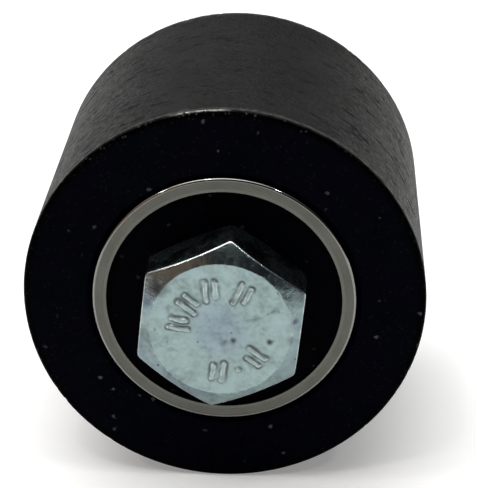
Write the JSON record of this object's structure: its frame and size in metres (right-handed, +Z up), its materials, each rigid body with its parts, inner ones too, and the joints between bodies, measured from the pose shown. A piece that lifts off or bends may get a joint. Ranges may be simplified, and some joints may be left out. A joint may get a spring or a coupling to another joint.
{
  "type": "cam follower",
  "caption": "Cam follower roller turning on sealed ball bearings, clamped on a hexagon bolt whose free threaded end fastens it to a lever.",
  "frame": {"origin": "centre of the roller, on its spin axis", "axes": "+Y along the spin axis from the bolt's head to its free threaded end, +Z up, +X to the right when seen from the bolt's head"},
  "size_m": [0.0336, 0.0553, 0.0336],
  "materials": {
    "roller_body": "turned, matte black",
    "bolt": "dull zinc plate",
    "nut": "dull zinc plate",
    "washer": "dull zinc plate",
    "spacer": "turned",
    "bearing_rings": "ground",
    "seal_rubber": "moulded, matte",
    "seal_cores": "pressed sheet",
    "balls": "polished",
    "cages": "pressed sheet",
    "cage_rivets": "set rivets"
  },
  "bodies": {
    "stud": {"hex_bolt": "bolt", "inner_spacer": "spacer", "flat_washer": "washer", "jam_nut": "nut", "front_inner_ring": "bearing_rings", "rear_inner_ring": "bearing_rings"},
    "roller": {"roller": "roller_body", "front_outer_ring": "bearing_rings", "front_outboard_seal": "seal_rubber", "front_outboard_seal_core": "seal_cores", "front_inboard_seal": "seal_rubber", "front_inboard_seal_core": "seal_cores", "rear_outer_ring": "bearing_rings", "rear_outboard_seal": "seal_rubber", "rear_outboard_seal_core": "seal_cores", "rear_inboard_seal": "seal_rubber", "rear_inboard_seal_core": "seal_cores"},
    "front_cage": {"front_cage_outboard_half": "cages", "front_cage_inboard_half": "cages", "front_cage_rivets": "cage_rivets"},
    "front_ball_1": {"front_ball_1": "balls"},
    "front_ball_2": {"front_ball_2": "balls"},
    "front_ball_3": {"front_ball_3": "balls"},
    "front_ball_4": {"front_ball_4": "balls"},
    "front_ball_5": {"front_ball_5": "balls"},
    "front_ball_6": {"front_ball_6": "balls"},
    "front_ball_7": {"front_ball_7": "balls"},
    "rear_cage": {"rear_cage_outboard_half": "cages", "rear_cage_inboard_half": "cages", "rear_cage_rivets": "cage_rivets"},
    "rear_ball_1": {"rear_ball_1": "balls"},
    "rear_ball_2": {"rear_ball_2": "balls"},
    "rear_ball_3": {"rear_ball_3": "balls"},
    "rear_ball_4": {"rear_ball_4": "balls"},
    "rear_ball_5": {"rear_ball_5": "balls"},
    "rear_ball_6": {"rear_ball_6": "balls"},
    "rear_ball_7": {"rear_ball_7": "balls"}
  },
  "joints": [
    {"name": "roller_spin", "type": "hinge", "parent": "stud", "child": "roller", "pos_m": [0, 0, 0], "axis": [0, 1, 0], "continuous": true},
    {"name": "front_cage_spin", "type": "hinge", "parent": "stud", "child": "front_cage", "pos_m": [0, -0.01, 0], "axis": [0, 1, 0], "continuous": true},
    {"name": "front_ball_1_spin", "type": "hinge", "parent": "front_cage", "child": "front_ball_1", "pos_m": [0.0075, -0.01, 0], "axis": [0, 1, 0], "continuous": true},
    {"name": "front_ball_2_spin", "type": "hinge", "parent": "front_cage", "child": "front_ball_2", "pos_m": [0.00468, -0.01, 0.00586], "axis": [0, 1, 0], "continuous": true},
    {"name": "front_ball_3_spin", "type": "hinge", "parent": "front_cage", "child": "front_ball_3", "pos_m": [-0.00167, -0.01, 0.00731], "axis": [0, 1, 0], "continuous": true},
    {"name": "front_ball_4_spin", "type": "hinge", "parent": "front_cage", "child": "front_ball_4", "pos_m": [-0.00676, -0.01, 0.00325], "axis": [0, 1, 0], "continuous": true},
    {"name": "front_ball_5_spin", "type": "hinge", "parent": "front_cage", "child": "front_ball_5", "pos_m": [-0.00676, -0.01, -0.00325], "axis": [0, 1, 0], "continuous": true},
    {"name": "front_ball_6_spin", "type": "hinge", "parent": "front_cage", "child": "front_ball_6", "pos_m": [-0.00167, -0.01, -0.00731], "axis": [0, 1, 0], "continuous": true},
    {"name": "front_ball_7_spin", "type": "hinge", "parent": "front_cage", "child": "front_ball_7", "pos_m": [0.00468, -0.01, -0.00586], "axis": [0, 1, 0], "continuous": true},
    {"name": "rear_cage_spin", "type": "hinge", "parent": "stud", "child": "rear_cage", "pos_m": [0, 0.01, 0], "axis": [0, 1, 0], "continuous": true},
    {"name": "rear_ball_1_spin", "type": "hinge", "parent": "rear_cage", "child": "rear_ball_1", "pos_m": [0.007, 0.01, 0.00269], "axis": [0, 1, 0], "continuous": true},
    {"name": "rear_ball_2_spin", "type": "hinge", "parent": "rear_cage", "child": "rear_ball_2", "pos_m": [0.00226, 0.01, 0.00715], "axis": [0, 1, 0], "continuous": true},
    {"name": "rear_ball_3_spin", "type": "hinge", "parent": "rear_cage", "child": "rear_ball_3", "pos_m": [-0.00418, 0.01, 0.00623], "axis": [0, 1, 0], "continuous": true},
    {"name": "rear_ball_4_spin", "type": "hinge", "parent": "rear_cage", "child": "rear_ball_4", "pos_m": [-0.00747, 0.01, 0.00062], "axis": [0, 1, 0], "continuous": true},
    {"name": "rear_ball_5_spin", "type": "hinge", "parent": "rear_cage", "child": "rear_ball_5", "pos_m": [-0.00514, 0.01, -0.00546], "axis": [0, 1, 0], "continuous": true},
    {"name": "rear_ball_6_spin", "type": "hinge", "parent": "rear_cage", "child": "rear_ball_6", "pos_m": [0.00106, 0.01, -0.00742], "axis": [0, 1, 0], "continuous": true},
    {"name": "rear_ball_7_spin", "type": "hinge", "parent": "rear_cage", "child": "rear_ball_7", "pos_m": [0.00647, 0.01, -0.0038], "axis": [0, 1, 0], "continuous": true}
  ],
  "couplings": [
    {"joint": "front_cage_spin", "follows": "roller_spin", "ratio": 0.6323},
    {"joint": "front_ball_1_spin", "follows": "roller_spin", "ratio": 1.7573},
    {"joint": "front_ball_2_spin", "follows": "roller_spin", "ratio": 1.7573},
    {"joint": "front_ball_3_spin", "follows": "roller_spin", "ratio": 1.7573},
    {"joint": "front_ball_4_spin", "follows": "roller_spin", "ratio": 1.7573},
    {"joint": "front_ball_5_spin", "follows": "roller_spin", "ratio": 1.7573},
    {"joint": "front_ball_6_spin", "follows": "roller_spin", "ratio": 1.7573},
    {"joint": "front_ball_7_spin", "follows": "roller_spin", "ratio": 1.7573},
    {"joint": "rear_cage_spin", "follows": "roller_spin", "ratio": 0.6323},
    {"joint": "rear_ball_1_spin", "follows": "roller_spin", "ratio": 1.7573},
    {"joint": "rear_ball_2_spin", "follows": "roller_spin", "ratio": 1.7573},
    {"joint": "rear_ball_3_spin", "follows": "roller_spin", "ratio": 1.7573},
    {"joint": "rear_ball_4_spin", "follows": "roller_spin", "ratio": 1.7573},
    {"joint": "rear_ball_5_spin", "follows": "roller_spin", "ratio": 1.7573},
    {"joint": "rear_ball_6_spin", "follows": "roller_spin", "ratio": 1.7573},
    {"joint": "rear_ball_7_spin", "follows": "roller_spin", "ratio": 1.7573}
  ]
}
